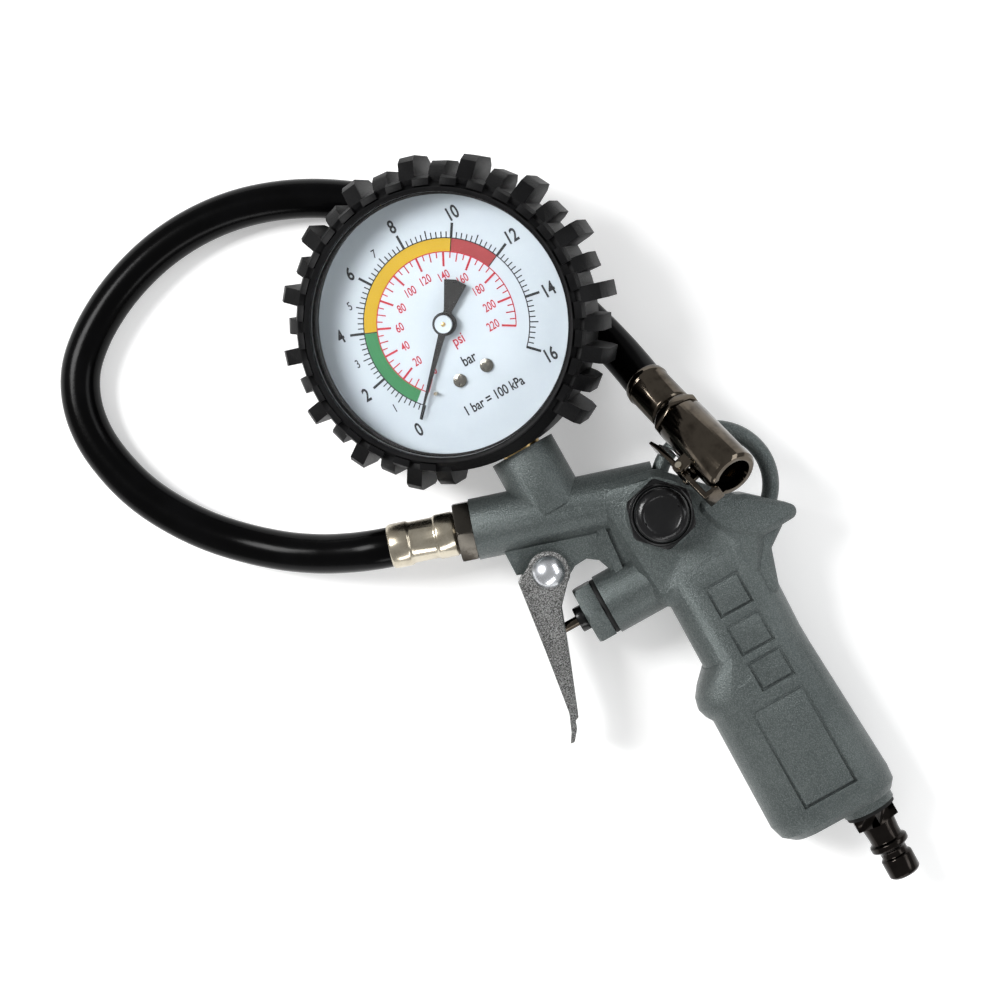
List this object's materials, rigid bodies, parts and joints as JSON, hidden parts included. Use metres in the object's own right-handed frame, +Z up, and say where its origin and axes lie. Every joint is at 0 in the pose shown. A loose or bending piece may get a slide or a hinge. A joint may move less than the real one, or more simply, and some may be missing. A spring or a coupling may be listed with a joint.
{
  "type": "tyre inflator gun with gauge",
  "caption": "Pistol-grip tyre inflator with a round dial gauge in a tread-pattern rubber boot, a looped rubber hose and a clip-on chuck.",
  "frame": {"origin": "centre of the footprint of the gun and gauge (hose and chuck left out), on the surface that it lies on", "axes": "+Z up from the surface, towards the dial side; +Y from the grip to the gauge; +X to the back of the gun"},
  "size_m": [0.1825, 0.281, 0.0515],
  "materials": {
    "cast_body": "sand-cast texture under a grey-green metallic coat",
    "brass": "machined",
    "nickel": "nickel plate, polished, warm grey",
    "black_nickel": "dark nickel plate, polished",
    "hose_rubber": "smooth, slightly glossy",
    "seal_rubber": "matt",
    "spring_steel": "drawn",
    "chromed_cast": "sand-textured cheeks with a polished edge",
    "polished_chrome": "mirror polished dome",
    "black_plastic": "smooth satin",
    "case_steel": "black enamel",
    "lens": "clear",
    "dial_print": "white enamel with printed scales",
    "brass_screw": "small cheese-head screw",
    "needle_black": "matt black",
    "boot_rubber": "moulded, matt with faint sheen"
  },
  "bodies": {
    "gun": {"body": "cast_body", "barrel_lining": "brass", "hose_nut": "nickel", "hose_ferrule": "nickel", "hose": "hose_rubber", "chuck_ferrule": "nickel", "chuck_body": "black_nickel", "chuck_seat": "seal_rubber", "clip_pin": "nickel", "clip_spring": "spring_steel", "trigger_pin": "polished_chrome", "valve_seat": "brass", "valve_spring": "spring_steel", "valve_nut": "cast_body", "valve_washer": "seal_rubber", "valve_gland": "black_plastic", "release_nut": "black_plastic", "release_spring": "spring_steel", "inlet_plug": "black_nickel", "inlet_bush": "black_nickel", "inlet_seal": "seal_rubber", "gauge_socket": "brass", "gauge_case": "case_steel", "gauge_bezel": "case_steel", "gauge_lens": "lens", "gauge_gasket": "seal_rubber", "dial": "dial_print", "dial_screw_a": "brass_screw", "dial_screw_b": "brass_screw", "stop_pin": "nickel", "movement": "brass", "bourdon_tube": "brass", "hairspring": "spring_steel", "boot": "boot_rubber"},
    "trigger": {"trigger": "chromed_cast"},
    "push_rod": {"push_rod": "spring_steel", "valve_poppet": "brass"},
    "button": {"release_button": "black_plastic"},
    "sector": {"sector_gear": "brass"},
    "needle": {"needle": "needle_black", "needle_cap": "dial_print", "pinion_shaft": "brass"},
    "link": {"tube_link": "brass"},
    "clip": {"chuck_clip": "black_nickel"},
    "valve_opener": {"chuck_pin": "brass"}
  },
  "joints": [
    {"name": "trigger_pull", "type": "hinge", "parent": "gun", "child": "trigger", "pos_m": [-0.017, 0.00191, 0.01977], "axis": [0, -0.0541, 0.9985], "range_deg": [0, 14], "stiffness_Nm_per_rad": 1.2, "springref_deg": -5.73},
    {"name": "rod_slide", "type": "slide", "parent": "gun", "child": "push_rod", "axis": [1, 0, 0], "range_m": [0, 0.0045], "deforming": ["valve_spring"]},
    {"name": "button_press", "type": "slide", "parent": "gun", "child": "button", "axis": [0, 0.0541, -0.9985], "range_m": [0, 0.003], "stiffness_N_per_m": 600, "springref_m": -0.001, "deforming": ["release_spring"]},
    {"name": "sector_turn", "type": "hinge", "parent": "gun", "child": "sector", "pos_m": [-0.0064, 0.06023, 0.02293], "axis": [-0.2079, -0.0529, 0.9767], "range_deg": [0, 27], "stiffness_Nm_per_rad": 0.004, "springref_deg": -2.86},
    {"name": "needle_turn", "type": "hinge", "parent": "gun", "child": "needle", "pos_m": [-0.0064, 0.08, 0.024], "axis": [0.2079, 0.0529, -0.9767], "range_deg": [0, 270]},
    {"name": "link_swing", "type": "hinge", "parent": "sector", "child": "link", "pos_m": [0.00338, 0.06012, 0.025], "axis": [-0.2079, -0.0529, 0.9767], "range_deg": [-27, 0]},
    {"name": "clip_open", "type": "hinge", "parent": "gun", "child": "clip", "pos_m": [0.0313, 0.00774, 0.0389], "axis": [0.1193, -0.561, -0.8192], "range_deg": [0, 9], "stiffness_Nm_per_rad": 0.3, "springref_deg": -5.73, "deforming": ["clip_spring"]},
    {"name": "opener_push", "type": "slide", "parent": "gun", "child": "valve_opener", "axis": [-0.1703, 0.8013, -0.5736], "range_m": [0, 0.002], "stiffness_N_per_m": 300, "springref_m": -0.001}
  ],
  "couplings": [
    {"joint": "rod_slide", "follows": "trigger_pull", "m_per_rad": 0.0177},
    {"joint": "needle_turn", "follows": "sector_turn", "ratio": 10},
    {"joint": "link_swing", "follows": "sector_turn", "ratio": -1}
  ]
}
